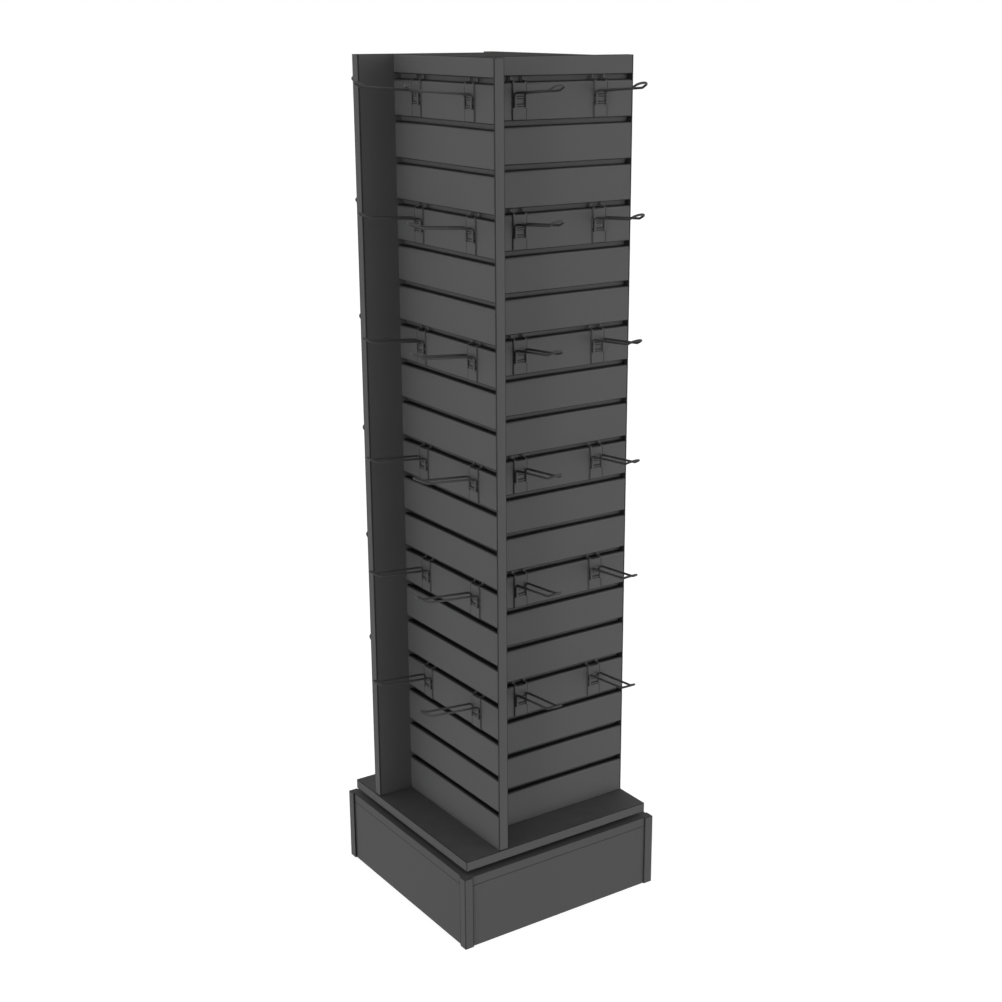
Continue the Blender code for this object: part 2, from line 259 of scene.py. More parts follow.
# Painted shade: a dark line along every broken edge; softer on a slot's lip, low on its back wall
# and down the base's corners
edgeShadeLook = {**laminateLook, "low": grey(0.0170), "high": grey(0.0240), "specular": 0.05, "dustAndTopLightAmount": 0.0}
lipShadeLook = {**edgeShadeLook, "low": grey(0.0300), "high": grey(0.0400)}
# Near-black painted shade inside the slots and on the trim faces that close their ends
coreLook = {
    "low": grey(0.0150), "high": grey(0.0250), "roughness": (0.75, 0.90), "specular": 0.06, "dustAndTopLightAmount": 0.0,
    "grainScale": 1400.0, "blotchScale": 40.0, "blotchShare": 0.3, "bump": 0.25, "bumpDepth": 0.0003,
}
# Lining at the back of a slot, with tool marks along it, a little darker than the face as painted shade
shadedSlotLook = {
    "low": grey(0.066), "high": grey(0.080), "roughness": (0.60, 0.74), "specular": 0.08, "metallic": 0.0,
    "stretch": (6.0, 6.0, 1500.0), "grainScale": 700.0, "blotchScale": 9.0, "blotchShare": 0.5,
    "grainShare": 0.5, "bump": 0.12, "bumpDepth": 0.0003,
}
# Extruded trims, with faint die lines along their length
trimLook = {
    "low": grey(0.0680), "high": grey(0.0768), "roughness": (0.52, 0.62), "specular": 0.10, "metallic": 0.0,
    "stretch": (1300.0, 1300.0, 3.0), "grainScale": 260.0, "blotchScale": 6.0, "blotchShare": 0.6,
    "grainShare": 0.55, "bump": 0.10, "bumpDepth": 0.0002,
}
# The trim on the base's corners, made darker as painted shade
shadedBaseTrimLook = {**trimLook, "low": grey(0.0640), "high": grey(0.0722)}
# Powder coat on the hook plates
coatLook = {
    "low": grey(0.0700), "high": grey(0.0805), "roughness": (0.50, 0.62), "specular": 0.12, "dustAndTopLightAmount": 0.04,
    "grainScale": 1900.0, "blotchScale": 60.0, "blotchShare": 0.35, "bump": 0.30, "bumpDepth": 0.0003,
}
# The same coat drawn dark round the sheet's cut edges and the bars as painted edge shade
coatEdgeShadeLook = {**coatLook, "low": grey(0.028), "high": grey(0.036), "specular": 0.06}
barEdgeShadeLook = {**coatEdgeShadeLook, "low": grey(0.020), "high": grey(0.027)}
# Paler coat on the sheet's sides: painted light where they stand in shade
coatSideLightLook = {**coatLook, "low": grey(0.108), "high": grey(0.124), "specular": 0.06}
# Smoother coat on the wire, darker than the plate's as painted shade
wireLook = {**coatLook, "low": grey(0.0455), "high": grey(0.0560), "roughness": (0.42, 0.52)}
# Zinc plate on the bearing and its bolt
zincLook = {
    "low": (0.46, 0.47, 0.485, 1.0), "high": (0.60, 0.61, 0.62, 1.0), "roughness": (0.26, 0.42),
    "specular": 0.5, "metallic": 1.0,
    "stretch": (900.0, 40.0, 900.0), "grainScale": 180.0, "blotchScale": 55.0, "blotchShare": 0.6,
    "grainShare": 0.6, "bump": 0.06, "bumpDepth": 0.0002,
}

laminate = grainFinish("charcoalLaminate", laminateLook)
shadedBaseLaminate = grainFinish("shadedBaseLaminate", shadedBaseLook)
shadedPlatformLaminate = grainFinish("shadedPlatformLaminate", shadedPlatformLook)
topLaminate = grainFinish("topLaminate", topLook)
edgeShadeLine = grainFinish("edgeShadeLine", edgeShadeLook)
slotLipShade = grainFinish("slotLipShade", lipShadeLook)
paintedSlotShade = grainFinish("blackSlotShade", coreLook)
shadedSlotWall = streakFinish("shadedRoutedSlotWall", shadedSlotLook)
edgeTrim = streakFinish("extrudedTrim", trimLook)
shadedBaseTrim = streakFinish("shadedBaseCornerTrim", shadedBaseTrimLook)
plateCoat = grainFinish("plateCoat", coatLook)
plateEdgeShade = grainFinish("plateCutEdgeShade", coatEdgeShadeLook)
barEdgeShade = grainFinish("barEdgeShade", barEdgeShadeLook)
plateSideLight = grainFinish("plateSideLight", coatSideLightLook)
wireCoat = grainFinish("wireCoat", wireLook)
zincSteel = streakFinish("zincSteel", zincLook)
print("finishes made:", len([m for m in bpy.data.materials if m.use_nodes]))


# Mesh helpers

def linked(name, data):
    piece = bpy.data.objects.new(name, data)
    bpy.context.scene.collection.objects.link(piece)
    return piece


def plainMesh(piece):
    # The shape after its modifiers, as a mesh of its own; the working object goes
    graph = bpy.context.evaluated_depsgraph_get()
    mesh = bpy.data.meshes.new_from_object(piece.evaluated_get(graph))
    bpy.data.objects.remove(piece, do_unlink=True)
    return mesh


def drawnMesh(name, points, edges, faces):
    mesh = bpy.data.meshes.new(name)
    mesh.from_pydata(points, edges, faces)
    return mesh


def shapeOf(mesh):
    shape = bmesh.new()
    shape.from_mesh(mesh)
    return shape


def written(shape, mesh):
    shape.to_mesh(mesh)
    shape.free()
    return mesh


def welded(mesh):
    # Doubles merged and faces turned outwards
    shape = shapeOf(mesh)
    bmesh.ops.remove_doubles(shape, verts=shape.verts, dist=weldGap)
    bmesh.ops.recalc_face_normals(shape, faces=shape.faces)
    return written(shape, mesh)


def smoothed(mesh, angle=sharpAngle):
    mesh.polygons.foreach_set("use_smooth", [True] * len(mesh.polygons))
    mesh.set_sharp_from_angle(angle=angle)
    return mesh


def dressed(mesh, *finishes):
    for finish in finishes:
        mesh.materials.append(finish)
    return mesh


def addPiece(name, mesh, body, slot, *nodes):
    mesh.name = name
    piece = linked(name, mesh)
    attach(piece, body)
    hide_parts(*nodes)
    return piece


def addEase(piece, width, segments, finishNumber, profile=0.5, limit="ANGLE"):
    ease = piece.modifiers.new("ease", "BEVEL")
    ease.width = width
    ease.segments = segments
    ease.profile = profile
    ease.limit_method = limit
    ease.angle_limit = sharpAngle
    ease.material = finishNumber
    ease.use_clamp_overlap = True


def nodeCopy(node):
    # The solid's own faces, welded and with flat triangles joined
    shape = shapeOf(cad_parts[node].data)
    bmesh.ops.remove_doubles(shape, verts=shape.verts, dist=2 * weldGap)
    bmesh.ops.dissolve_limit(shape, angle_limit=flatAngle, verts=shape.verts, edges=shape.edges)
    return written(shape, bpy.data.meshes.new(node))


def joinedMesh(name, meshes, finishes):
    # One mesh from several, each with its own material numbers
    shape = bmesh.new()
    for mesh in meshes:
        shape.from_mesh(mesh)
    return dressed(written(shape, bpy.data.meshes.new(name)), *finishes)


def boxMesh(name, low, high):
    size = [b - a for a, b in zip(low, high)]
    middle = [(a + b) / 2 for a, b in zip(low, high)]
    shape = bmesh.new()
    bmesh.ops.create_cube(shape, size=1.0, matrix=Matrix.Translation(middle) @ Matrix.Diagonal((*size, 1.0)))
    return written(shape, bpy.data.meshes.new(name))


def arcPoints(centre, radius, start, end, steps):
    return [(centre[0] + radius * math.cos(start + (end - start) * s / steps),
             centre[1] + radius * math.sin(start + (end - start) * s / steps)) for s in range(steps + 1)]


def turnedMesh(name, profile, steps):
    # A profile of (radius, height) from top to bottom, turned about Z; a radius of 0 closes an end
    points, rings = [], []
    for radius, height in profile:
        count = 1 if radius == 0 else steps
        rings.append(range(len(points), len(points) + count))
        for s in range(count):
            angle = 2 * math.pi * s / steps
            points.append((radius * math.cos(angle), radius * math.sin(angle), height))
    faces = []
    for upper, lower in zip(rings, rings[1:]):
        for s in range(steps):
            t = (s + 1) % steps
            corners = [upper[s % len(upper)], lower[s % len(lower)],
                       lower[t % len(lower)], upper[t % len(upper)]]
            faces.append(list(dict.fromkeys(corners)))
    return drawnMesh(name, points, [], faces)


# Boards and trims: the solids with their edges just broken, and a fine dark line painted there as edge shade

boards = {
    "base_top": ("base", shadedBaseLaminate, 0.0006),
    **{"base_side_" + side: ("base", shadedBaseLaminate, 0.0004) for side in ("front", "back", "left", "right")},
    "platform": ("tower", shadedPlatformLaminate, 0.0011), "top_cap": ("tower", topLaminate, 0.0010),
}
# How wide each corner trim's painted edge shade is
cornerTrims = {
    "base_corner_trim_front_left": 0.0014, "base_corner_trim_front_right": 0.0009,
    "base_corner_trim_back_left": 0.0014, "base_corner_trim_back_right": 0.0014,
}
topsWithoutEdgeShade = {"base_top", *cornerTrims}  # the base's up-facing faces carry no painted edge shade
endTrim = {"ease": 0.0010, "inward": 0.9}
brokenEdge = {"segments": 4, "profile": 0.92, "upward": 0.1, "cornerward": 0.72}
ownFinish, edgeShadeFinish, slotShadeFinish, softEdgeShadeFinish = range(4)  # the order of a board's materials


def weighOutwardEdges(mesh):
    # Marks the edges that stand out, so that inner corners stay sharp
    shape = shapeOf(mesh)
    weight = shape.edges.layers.float.new("bevel_weight_edge")
    for edge in shape.edges:
        if edge.is_manifold and edge.calc_face_angle_signed() > sharpAngle:
            edge[weight] = 1.0
    return written(shape, mesh)


def refinish(mesh, towards, least, number):
    # Another finish for the faces that look one way
    for polygon in mesh.polygons:
        if polygon.normal.dot(towards) > least:
            polygon.material_index = number


def easedMesh(node, ease, finish):
    mesh = dressed(weighOutwardEdges(nodeCopy(node)), finish, edgeShadeLine, paintedSlotShade, slotLipShade)
    piece = linked(node, mesh)
    addEase(piece, ease, brokenEdge["segments"], edgeShadeFinish, brokenEdge["profile"], "WEIGHT")
    made = plainMesh(piece)
    if node in topsWithoutEdgeShade:
        refinish(made, Vector((0.0, 0.0, 1.0)), brokenEdge["upward"], ownFinish)
    return made


for node, (body, finish, ease) in boards.items():
    addPiece(node + "_piece", easedMesh(node, ease, finish), body, "laminate", node)
for node, ease in cornerTrims.items():
    mesh = easedMesh(node, ease, shadedBaseTrim)
    # The outer corner's painted edge shade is less dark than on the trim's other edges
    outward = sum(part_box(node), Vector()) * Vector((1.0, 1.0, 0.0))
    refinish(mesh, outward.normalized(), brokenEdge["cornerward"], softEdgeShadeFinish)
    addPiece(node + "_piece", mesh, "base", "edge_trim", node)
for face, turn in faceTurns.items():
    node = "panel_end_trim_" + face
    mesh = easedMesh(node, endTrim["ease"], edgeTrim)
    # The side that closes the slots' ends is painted near-black as shade
    refinish(mesh, Vector((-math.cos(turn), -math.sin(turn), 0.0)), endTrim["inward"], slotShadeFinish)
    addPiece(node + "_piece", mesh, "tower", "edge_trim", node)
print("boards and trims:", len(boards) + len(cornerTrims) + len(faceTurns))


# Slat panels: one outline down the face, in and out of every slot, drawn along the panel

slatPanel = {
    "Slot Count": 19, "Slot Pitch": 0.0762, "First Drop": 0.0434, "Mouth": 0.0095, "Lip": 0.006,
    "Pocket Depth": 0.008, "Pocket Rise": 0.0065, "Lining Foot": 0.0004, "Upper Round": 0.0021,
    "Lower Round": 0.0042, "Lip Lag": 0.13, "Board Ease": 0.0010, "Round Steps": 8,
}
# A part of a face's normal at which its finish or shading changes, and the room left at an end or a lip
slatTurn = {"lip": 0.96, "core": 0.75, "lowerLip": 0.1, "backWall": -0.7, "top": 0.9, "round": 0.02}
slatRoom = {"end": 0.0001, "lip": 0.001}
pointsPerSlot, boardCorners = 9, 4
halfStep = 0.5  # keeps a count clear of rounding


def pickByIndex(tree, index, values):
    node = addNode(tree, "GeometryNodeIndexSwitch", None, data_type="FLOAT")
    while len(node.index_switch_items) < len(values):
        node.index_switch_items.new()
    setSocket(tree, node.inputs["Index"], index)
    for number, value in enumerate(values):
        setSocket(tree, node.inputs[number + 1], value)
    return node.outputs["Output"]


def joinedGeometry(tree, *shares):
    both = addNode(tree, "GeometryNodeJoinGeometry")
    for share in shares:
        tree.links.new(share, both.inputs["Geometry"])
    return both.outputs["Geometry"]


def slatOutline(tree, given):
    # Depth is X and height is Y, down the face through every slot and then round the back
    mouth, lip, rise, foot = (given[n] for n in ("Mouth", "Lip", "Pocket Rise", "Lining Foot"))
    board, height, ease = given["Board"], given["Height"], given["Board Ease"]
    slotPoints = calc(tree, "MULTIPLY", given["Slot Count"], pointsPerSlot)
    index = addNode(tree, "GeometryNodeInputIndex").outputs["Index"]
    slot = calc(tree, "FLOOR", calc(tree, "DIVIDE", calc(tree, "ADD", index, halfStep), pointsPerSlot))
    corner = calc(tree, "SUBTRACT", index, calc(tree, "MULTIPLY", slot, pointsPerSlot))
    after = calc(tree, "SUBTRACT", index, slotPoints)
    # A slot's nine corners, from its upper lip to its lower one
    pocket = calc(tree, "ADD", lip, given["Pocket Depth"])
    roof = calc(tree, "ADD", mouth, rise)
    floor = calc(tree, "MULTIPLY", rise, -1.0)
    slotDepth = pickByIndex(tree, corner, [0.0, lip, lip, pocket, pocket, pocket, lip, lip, 0.0])
    slotRise = pickByIndex(tree, corner, [mouth, mouth, roof, roof, foot, floor, floor, 0.0, 0.0])
    sharp = [0.0] * (pointsPerSlot - 2)
    slotRound = pickByIndex(tree, corner, [given["Upper Round"], *sharp, given["Lower Round"]])
    drop = calc(tree, "ADD", given["First Drop"], calc(tree, "MULTIPLY", slot, given["Slot Pitch"]))
    slotHeight = calc(tree, "ADD", calc(tree, "SUBTRACT", height, drop), slotRise)
    # The board's own four corners, on from the lowest slot
    boardDepth = pickByIndex(tree, after, [0.0, board, board, 0.0])
    boardHeight = pickByIndex(tree, after, [0.0, 0.0, height, height])
    inSlots = addNode(tree, "FunctionNodeCompare", {0: after, 1: -halfStep}, operation="LESS_THAN")
    depthNow, heightNow, roundNow = [
        addNode(tree, "GeometryNodeSwitch", {"Switch": inSlots.outputs["Result"], "False": no, "True": yes},
                input_type="FLOAT").outputs["Output"]
        for no, yes in ((boardDepth, slotDepth), (boardHeight, slotHeight), (ease, slotRound))]
    place = addNode(tree, "ShaderNodeCombineXYZ", {"X": depthNow, "Y": heightNow}).outputs["Vector"]
    line = addNode(tree, "GeometryNodeMeshLine", {"Count": calc(tree, "ADD", slotPoints, boardCorners)})
    drawn = addNode(tree, "GeometryNodeSetPosition", {"Geometry": line.outputs["Mesh"], "Position": place})
    curve = addNode(tree, "GeometryNodeMeshToCurve", {"Mesh": drawn.outputs["Geometry"]})
    closed = addNode(tree, "GeometryNodeSetSplineCyclic", {
        "Geometry": curve.outputs["Curve"], "Cyclic": True})
    rounded = addNode(tree, "GeometryNodeFilletCurve", {
        "Curve": closed.outputs["Geometry"], "Count": given["Round Steps"], "Radius": roundNow}, mode="POLY")
    return rounded.outputs["Curve"]


def slatBoard(tree, given, outline):
    # The outline filled and drawn along; depth, height and run become Y, Z and X
    section = addNode(tree, "GeometryNodeFillCurve", {"Curve": outline}, mode="NGONS").outputs["Mesh"]
    reach = addNode(tree, "ShaderNodeCombineXYZ", {"Z": given["Length"]}).outputs["Vector"]
    run = addNode(tree, "GeometryNodeExtrudeMesh", {
        "Mesh": section, "Offset": reach, "Offset Scale": 1.0, "Individual": False})
    start = addNode(tree, "GeometryNodeFlipFaces", {"Mesh": section})
    merged = addNode(tree, "GeometryNodeMergeByDistance", {
        "Geometry": joinedGeometry(tree, run.outputs["Mesh"], start.outputs["Mesh"]), "Distance": weldGap})
    was = split(tree, addNode(tree, "GeometryNodeInputPosition").outputs[0])
    now = addNode(tree, "ShaderNodeCombineXYZ", {"X": was["Z"], "Y": was["X"], "Z": was["Y"]})
    stood = addNode(tree, "GeometryNodeSetPosition", {
        "Geometry": merged.outputs["Geometry"], "Position": now.outputs["Vector"]})
    return addNode(tree, "GeometryNodeRealizeInstances", {"Geometry": stood.outputs["Geometry"]}).outputs[0]


def slatFinishes(tree, given, board):
    normal = split(tree, addNode(tree, "GeometryNodeInputNormal").outputs[0])
    spot = split(tree, addNode(tree, "GeometryNodeInputPosition").outputs[0])
    # Between the board's top and foot, lips get painted shade as they turn from the face, the lower one
    # later
    top = calc(tree, "SUBTRACT", given["Height"], slatRoom["end"])
    within = calc(tree, "MULTIPLY", calc(tree, "GREATER_THAN", spot["Z"], slatRoom["end"]),
                  calc(tree, "LESS_THAN", spot["Z"], top))
    firstFoot = calc(tree, "SUBTRACT", given["Height"], given["First Drop"])
    overFoot = calc(tree, "SUBTRACT", spot["Z"], firstFoot)
    lowerLip = calc(tree, "MULTIPLY", calc(tree, "GREATER_THAN", normal["Z"], slatTurn["lowerLip"]),
                    calc(tree, "LESS_THAN", overFoot, 0.0))
    facing = calc(tree, "ADD", calc(tree, "ABSOLUTE", normal["Y"]),
                  calc(tree, "MULTIPLY", lowerLip, given["Lip Lag"]))
    turning = calc(tree, "MULTIPLY", within, calc(tree, "LESS_THAN", facing, slatTurn["lip"]))
    turnedAway = calc(tree, "MULTIPLY", within, calc(tree, "LESS_THAN", facing, slatTurn["core"]))
    # The slot's back wall: lined above the slot's foot, with the lip's painted shade below it
    deep = calc(tree, "GREATER_THAN", spot["Y"], calc(tree, "ADD", given["Lip"], slatRoom["lip"]))
    backWall = calc(tree, "MULTIPLY", deep, calc(tree, "LESS_THAN", normal["Y"], slatTurn["backWall"]))
    roof = calc(tree, "ADD", given["Mouth"], given["Pocket Rise"])
    upper = calc(tree, "LESS_THAN", calc(tree, "FLOORED_MODULO", overFoot, given["Slot Pitch"]), roof)
    slope = calc(tree, "ABSOLUTE", calc(tree, "MULTIPLY", normal["Y"], normal["Z"]))
    soft = addNode(tree, "GeometryNodeSetShadeSmooth", {
        "Geometry": board, "Shade Smooth": calc(tree, "GREATER_THAN", slope, slatTurn["round"])})
    finished = soft.outputs["Geometry"]
    for name, chosen in (
            ("Face", True), ("Top", calc(tree, "GREATER_THAN", normal["Z"], slatTurn["top"])),
            ("Lip", calc(tree, "MAXIMUM", turning, backWall)), ("Edge", turnedAway),
            ("Slot", calc(tree, "MULTIPLY", backWall, upper))):
        step = addNode(tree, "GeometryNodeSetMaterial", {
            "Geometry": finished, "Selection": chosen, "Material": given[name + " Finish"]})
        finished = step.outputs["Geometry"]
    return finished


def buildSlatTree():
    sizes = ["Slot Pitch", "First Drop", "Mouth", "Lip", "Pocket Depth", "Pocket Rise", "Lining Foot",
             "Upper Round", "Lower Round", "Lip Lag", "Board Ease", "Board", "Height", "Length"]
    finishes = [name + " Finish" for name in ("Face", "Top", "Slot", "Lip", "Edge")]
    tree, given, result = newGroup(
        "slatPanelTree", "GeometryNodeTree",
        [("Geometry", "Geometry"), ("Slot Count", "Int"), ("Round Steps", "Int"),
         *((name, "Float") for name in sizes), *((name, "Material") for name in finishes)],
        [("Geometry", "Geometry")],
    )
    board = slatBoard(tree, given, slatOutline(tree, given))
    tree.links.new(slatFinishes(tree, given, board), result["Geometry"])
    return tree


def evaluateTree(name, tree, values, mesh=None):
    piece = linked(name, mesh or bpy.data.meshes.new(name))
    step = piece.modifiers.new(name, "NODES")
    step.node_group = tree
    for label, value in values.items():
        step[inputId(tree, label)] = value
    return plainMesh(piece)


panelLow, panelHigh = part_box("slat_panel_front")
panelSize = panelHigh - panelLow
panelMesh = evaluateTree("slatPanel", buildSlatTree(), {
    **slatPanel, "Board": panelSize.y, "Height": panelSize.z, "Length": panelSize.x,
    "Face Finish": laminate, "Top Finish": topLaminate, "Slot Finish": shadedSlotWall, "Lip Finish": slotLipShade,
    "Edge Finish": paintedSlotShade,
})
panelMesh.transform(Matrix.Translation(panelLow))
for face, turn in faceTurns.items():
    mesh = panelMesh.copy()
    mesh.transform(Matrix.Rotation(turn, 4, "Z"))
    addPiece(f"slat_panel_{face}_piece", mesh, "tower", "laminate", "slat_panel_" + face)
print("slat panel:", len(panelMesh.polygons), "faces, on", len(faceTurns), "sides")


# Hooks: a bent sheet plate with two prongs, two cross bars and a U of round wire with a raised nose

hook = {
    "plateWidth": 0.0305, "plateDrop": 0.0645, "sheet": 0.0022, "seat": 0.0003, "prongWidth": 0.0045,
    "prongTop": 0.015, "sheetBend": 0.0018, "sheetBendSteps": 4, "plateEase": 0.0004,
    "edgeLine": 0.0016, "notchDrop": 0.0016, "sideways": 0.9,
    "barWidth": 0.0298, "barHeight": 0.0055, "barProud": 0.0022, "barDrops": (0.0238, 0.0369),
    "barEase": 0.0019, "barSunk": 0.0018,
    "wireDiameter": 0.0044, "wireSpacing": 0.0230, "legOut": 0.0050, "legDrop": 0.0438, "legBend": 0.006,
    "armDrop": 0.0181, "armReach": 0.1085, "armRise": math.radians(4.4),
    "tipLength": 0.0208, "tipRise": math.radians(27.0), "tipBend": 0.010, "noseRound": 0.999,
    "wireSides": 12, "bendSteps": 8,
    "beadSize": (0.0010, 0.0014, 0.0026), "beadSpread": 0.52, "beadShares": (0.85, 1.15), "beadSeed": 4,
}
hookFinishes = {"plate": plateCoat, "edge": plateEdgeShade, "wire": wireCoat, "bar": barEdgeShade, "side": plateSideLight}
hookNumbers = {name: number for number, name in enumerate(hookFinishes)}


def plateMesh():
    half = hook["sheet"] / 2
    out = -hook["seat"] - half
    shelf = hook["seat"] + half
    back = slatPanel["Lip"] + hook["seat"] + half
    bend, steps = hook["sheetBend"], hook["sheetBendSteps"]
    # From the plate's foot over the lip and up the prongs, as (depth, height)
    path = [(out, -hook["plateDrop"]), (out, -hook["notchDrop"])]
    path += arcPoints((out + bend, shelf - bend), bend, math.pi, math.pi / 2, steps)
    path += arcPoints((back - bend, shelf + bend), bend, -math.pi / 2, 0.0, steps)
    path.append((back, hook["prongTop"]))
    edge = hook["plateWidth"] / 2
    inner = [edge - hook["edgeLine"], edge - hook["prongWidth"]]
    columns = [-edge, *(-x for x in inner), *reversed(inner), edge]
    across = len(columns)
    last = across - 2
    faces, numbers = [], []
    for row in range(len(path) - 1):
        for column in range(last + 1):
            if column == last // 2 and row > 0:
                continue  # the notch between the prongs
            corner = row * across + column
            faces.append((corner, corner + 1, corner + across + 1, corner + across))
            # Painted shade along the plate's sides and where the prongs bend over the lip
            edgeShaded = (row == 0 and column in (0, last)) or 1 < row <= steps + 1
            numbers.append(hookNumbers["edge" if edgeShaded else "plate"])
    mesh = drawnMesh("hookPlate", [(x, y, z) for y, z in path for x in columns], [], faces)
    mesh.polygons.foreach_set("material_index", numbers)
    shape = shapeOf(mesh)
    bmesh.ops.delete(shape, geom=[v for v in shape.verts if not v.link_faces], context="VERTS")
    piece = linked("hookPlate", dressed(written(shape, mesh), *hookFinishes.values()))
    wall = piece.modifiers.new("wall", "SOLIDIFY")
    wall.thickness = hook["sheet"]
    wall.offset = 0.0
    wall.use_even_offset = True
    wall.material_offset_rim = -1
    addEase(piece, hook["plateEase"], brokenEdge["segments"], hookNumbers["edge"], brokenEdge["profile"])
    plate = plainMesh(piece)
    # Sheet sides that face across get the pale coat as painted light
    for polygon in plate.polygons:
        if abs(polygon.normal.x) > hook["sideways"] and polygon.center.z < -hook["notchDrop"]:
            polygon.material_index = hookNumbers["side"]
    return plate


def barMesh(drop):
    front = -hook["seat"] - hook["sheet"]
    across = hook["barWidth"] / 2
    low = (-across, front - hook["barProud"], -drop - hook["barHeight"])
    mesh = boxMesh("hookBar", low, (across, front + hook["barSunk"], -drop))
    piece = linked("hookBar", dressed(mesh, *hookFinishes.values()))
    addEase(piece, hook["barEase"], brokenEdge["segments"], hookNumbers["bar"], brokenEdge["profile"])
    return plainMesh(piece)


def endTree(tree, geometry, finish, result):
    whole = addNode(tree, "GeometryNodeRealizeInstances", {"Geometry": geometry})
    coated = addNode(tree, "GeometryNodeSetMaterial", {
        "Geometry": whole.outputs["Geometry"], "Material": finish})
    tree.links.new(coated.outputs["Geometry"], result["Geometry"])
    return tree


def buildWireTree():
    tree, given, result = newGroup(
        "bentWireTree", "GeometryNodeTree",
        [("Geometry", "Geometry"), ("Wire Diameter", "Float"), ("Wire Sides", "Int"), ("Bend Steps", "Int"),
         ("Wire Finish", "Material")],
        [("Geometry", "Geometry")],
    )
    curve = addNode(tree, "GeometryNodeMeshToCurve", {"Mesh": given["Geometry"]})
    bends = addNode(tree, "GeometryNodeInputNamedAttribute", {"Name": "bendRadius"}, data_type="FLOAT")
    rounded = addNode(tree, "GeometryNodeFilletCurve", {
        "Curve": curve.outputs["Curve"], "Count": given["Bend Steps"], "Radius": bends.outputs["Attribute"],
        "Limit Radius": True}, mode="POLY")
    ring = addNode(tree, "GeometryNodeCurvePrimitiveCircle", {
        "Resolution": given["Wire Sides"], "Radius": calc(tree, "MULTIPLY", given["Wire Diameter"], 0.5)})
    tube = addNode(tree, "GeometryNodeCurveToMesh", {
        "Curve": rounded.outputs["Curve"], "Profile Curve": ring.outputs["Curve"], "Scale": 1.0,
        "Fill Caps": True})
    return endTree(tree, tube.outputs["Mesh"], given["Wire Finish"], result)


def wireMesh(tree):
    half = hook["wireSpacing"] / 2
    legOut, legBend, armReach = hook["legOut"], hook["legBend"], hook["armReach"]
    rootAngle = math.pi / 2 + hook["armRise"]
    rootHeight = -hook["armDrop"] - legBend + legBend * math.sin(rootAngle)
    rootOut = legOut + legBend + legBend * math.cos(rootAngle)

    def armHeight(out):
        return rootHeight + (out - rootOut) * math.tan(hook["armRise"])

    tipOut = armReach + hook["tipLength"] * math.cos(hook["tipRise"])
    tipHeight = armHeight(armReach) + hook["tipLength"] * math.sin(hook["tipRise"])
    # One side from the leg's foot to the nose, as (out, height, radius of the bend)
    side = [
        (legOut, -hook["legDrop"], 0.0), (legOut, armHeight(legOut), legBend),
        (armReach, armHeight(armReach), hook["tipBend"]), (tipOut, tipHeight, half * hook["noseRound"]),
    ]
    path = [(half, -out, height) for out, height, radius in side]
    path += [(-half, -out, height) for out, height, radius in reversed(side)]
    radii = [radius for out, height, radius in side + side[::-1]]
    mesh = drawnMesh("hookWire", path, [(i, i + 1) for i in range(len(path) - 1)], [])
    mesh.attributes.new("bendRadius", "FLOAT", "POINT").data.foreach_set("value", radii)
    wire = evaluateTree("hookWire", tree, {
        "Wire Diameter": hook["wireDiameter"], "Wire Sides": hook["wireSides"],
        "Bend Steps": hook["bendSteps"], "Wire Finish": wireCoat}, mesh)
    # The legs get the plate's paler coat as painted light against the shade they stand in
    legFront = -legOut - hook["wireDiameter"]
    numbers = [hookNumbers["plate" if polygon.center.y > legFront else "wire"] for polygon in wire.polygons]
    wire.polygons.foreach_set("material_index", numbers)
    return wire


def buildBeadTree():
    tree, given, result = newGroup(
        "weldBeadTree", "GeometryNodeTree",
        [("Geometry", "Geometry"), ("Bead Size", "Vector"), ("Least Share", "Float"),
         ("Most Share", "Float"), ("Bead Finish", "Material"), ("Seed", "Int")],
        [("Geometry", "Geometry")],
    )
    bead = addNode(tree, "GeometryNodeMeshIcoSphere", {"Radius": 0.5, "Subdivisions": 2})
    # 2 and 3 are the least and the most of a random number
    vary = addNode(tree, "FunctionNodeRandomValue", {
        2: given["Least Share"], 3: given["Most Share"], "Seed": given["Seed"]}, data_type="FLOAT")
    size = addNode(tree, "ShaderNodeVectorMath", {
        0: given["Bead Size"], "Scale": vary.outputs[1]}, operation="SCALE")
    beads = addNode(tree, "GeometryNodeInstanceOnPoints", {
        "Points": given["Geometry"], "Instance": bead.outputs["Mesh"], "Scale": size.outputs["Vector"]})
    return endTree(tree, beads.outputs["Instances"], given["Bead Finish"], result)


def beadMesh(tree):
    # A weld on each side of a leg, at each bar
    front = -hook["seat"] - hook["sheet"] - hook["barProud"]
    beside = hook["wireDiameter"] * hook["beadSpread"]
    places = [leg * hook["wireSpacing"] / 2 + step * beside for leg in (-1, 1) for step in (-1, 1)]
    spots = [(x, front, -drop - hook["barHeight"] / 2) for drop in hook["barDrops"] for x in places]
    least, most = hook["beadShares"]
    beads = evaluateTree("weldBeads", tree, {
        "Bead Size": hook["beadSize"], "Least Share": least, "Most Share": most, "Bead Finish": plateEdgeShade,
        "Seed": hook["beadSeed"]}, drawnMesh("weldBeads", spots, [], []))
    beads.polygons.foreach_set("material_index", [hookNumbers["edge"]] * len(beads.polygons))
    return beads


hookMesh = smoothed(joinedMesh("wireHook", [
    plateMesh(), *(barMesh(drop) for drop in hook["barDrops"]), beadMesh(buildBeadTree()),
    wireMesh(buildWireTree())], hookFinishes.values()))


def faceBox(node, turn):
    # A node's box as its own face sees it: X along the panel, Y into it
    corners = [Matrix.Rotation(-turn, 3, "Z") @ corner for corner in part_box(node)]
    return [Vector(map(pick, *corners)) for pick in (min, max)]


def hookPlace(face, along, height):
    turn = Matrix.Rotation(faceTurns[face], 4, "Z")
    return turn @ Matrix.Translation((along, panelLow.y, height))


